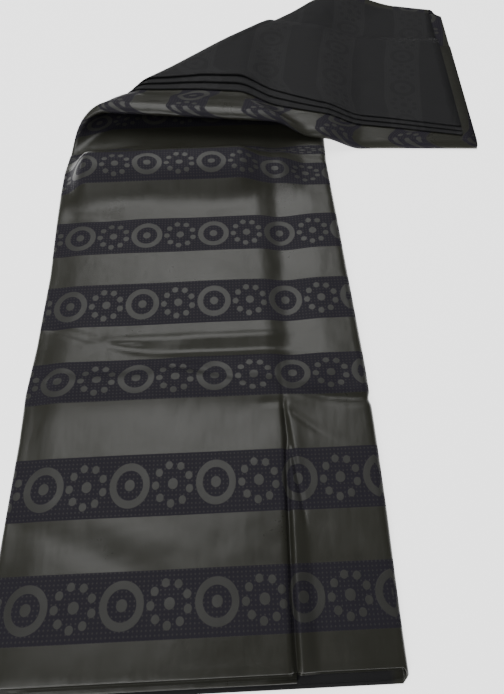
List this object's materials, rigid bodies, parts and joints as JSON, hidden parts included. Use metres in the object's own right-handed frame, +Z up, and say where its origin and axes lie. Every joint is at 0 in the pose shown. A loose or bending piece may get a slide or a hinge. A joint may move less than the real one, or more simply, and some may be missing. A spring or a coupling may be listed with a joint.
{
  "type": "embossed fabric",
  "caption": "Long dark cloth folded into a flat strip of layers that turns over on a loose diagonal fold and ends in a side arm.",
  "frame": {"origin": "centre of the bounding box, on the surface that the cloth lies on", "axes": "+Z up from the surface, +Y along the strip away from its front edge, +X across the strip and out along the arm"},
  "size_m": [0.6002, 0.9916, 0.0543],
  "materials": {
    "fabric": "dark woven cloth, satin stripes beside dull dotted bands with rings and dots"
  },
  "bodies": {
    "root": {"cloth": "fabric"}
  },
  "joints": []
}
